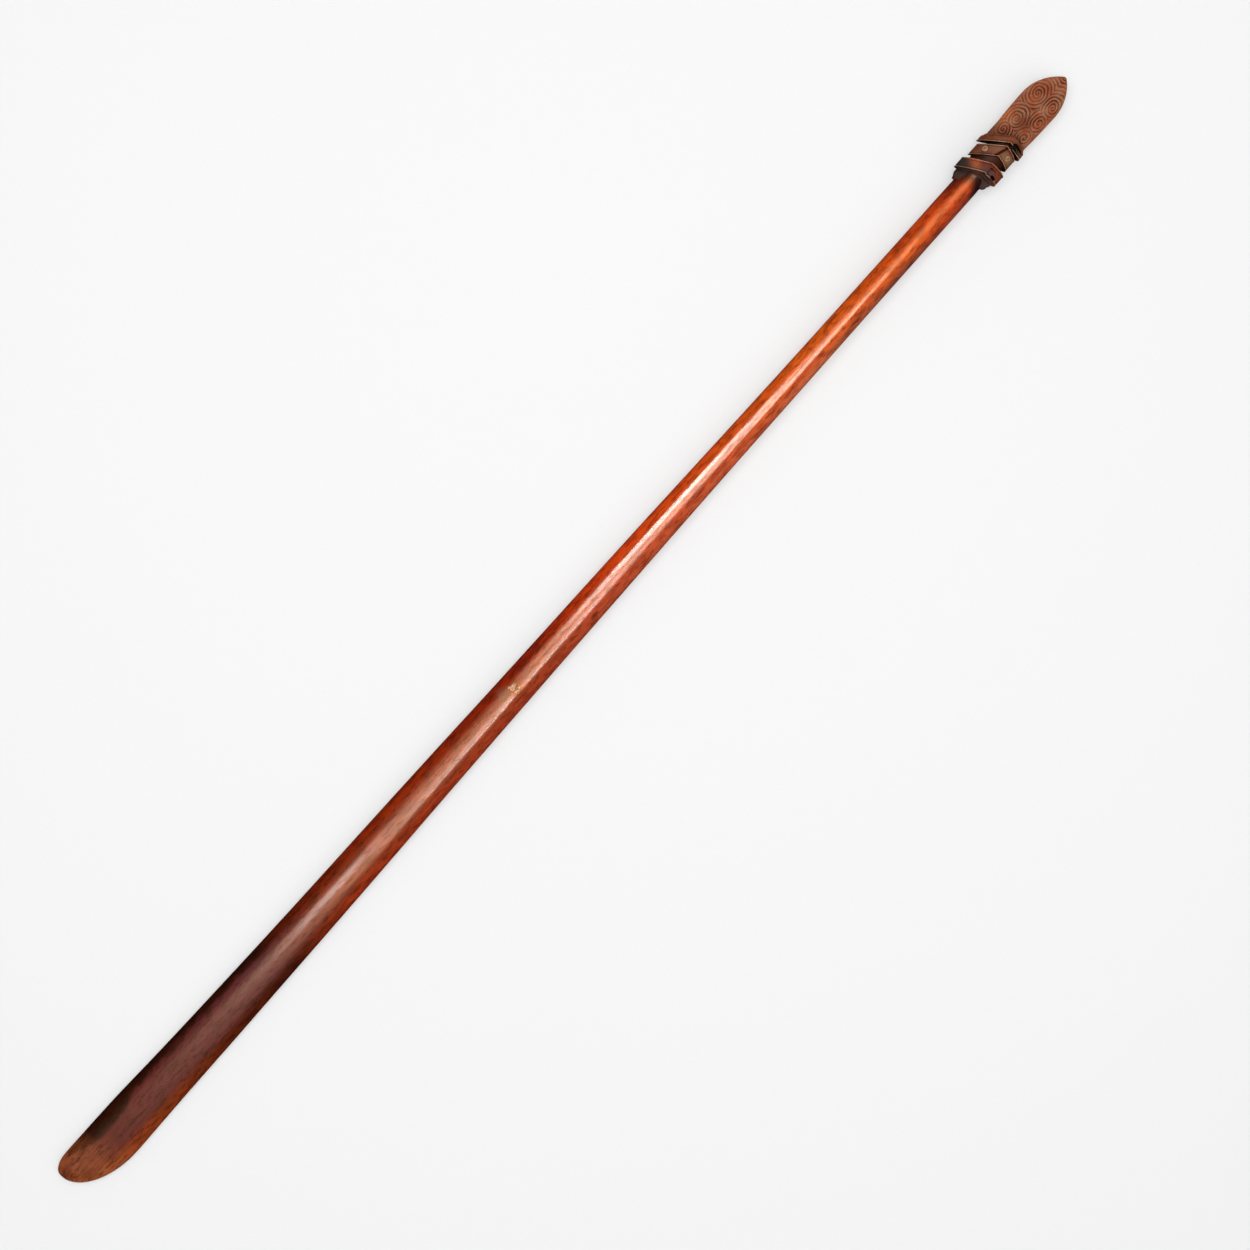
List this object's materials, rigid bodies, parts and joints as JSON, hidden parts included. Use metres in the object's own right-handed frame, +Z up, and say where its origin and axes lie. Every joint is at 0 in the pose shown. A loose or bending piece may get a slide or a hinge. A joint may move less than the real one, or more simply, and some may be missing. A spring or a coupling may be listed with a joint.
{
  "type": "carved_staff",
  "caption": "Long carved hardwood fighting staff (taiaha) with a pointed tongue, a two-faced banded head with shell eyes, an oval shaft and a flat blade.",
  "frame": {"origin": "middle of the staff's length and width, on the surface that it lies on", "axes": "+X along the staff towards the tip of the tongue, +Z up out of the front face of the head, +Y across the blade, to the left of someone who looks along +X"},
  "size_m": [1.65, 0.0588, 0.0481],
  "materials": {
    "polished_hardwood": "red-brown hardwood, hand polished on shaft and blade and dull in the carving",
    "eye_shell": "dulled inlaid shell, stained warm by handling",
    "peg_wood": "dark wood, domed by hand"
  },
  "bodies": {
    "root": {"carved_staff": "polished_hardwood", "eye_ring_front_left": "eye_shell", "eye_ring_front_right": "eye_shell", "eye_ring_back_left": "eye_shell", "eye_ring_back_right": "eye_shell", "eye_peg_front_left": "peg_wood", "eye_peg_front_right": "peg_wood", "eye_peg_back_left": "peg_wood", "eye_peg_back_right": "peg_wood"}
  },
  "joints": []
}
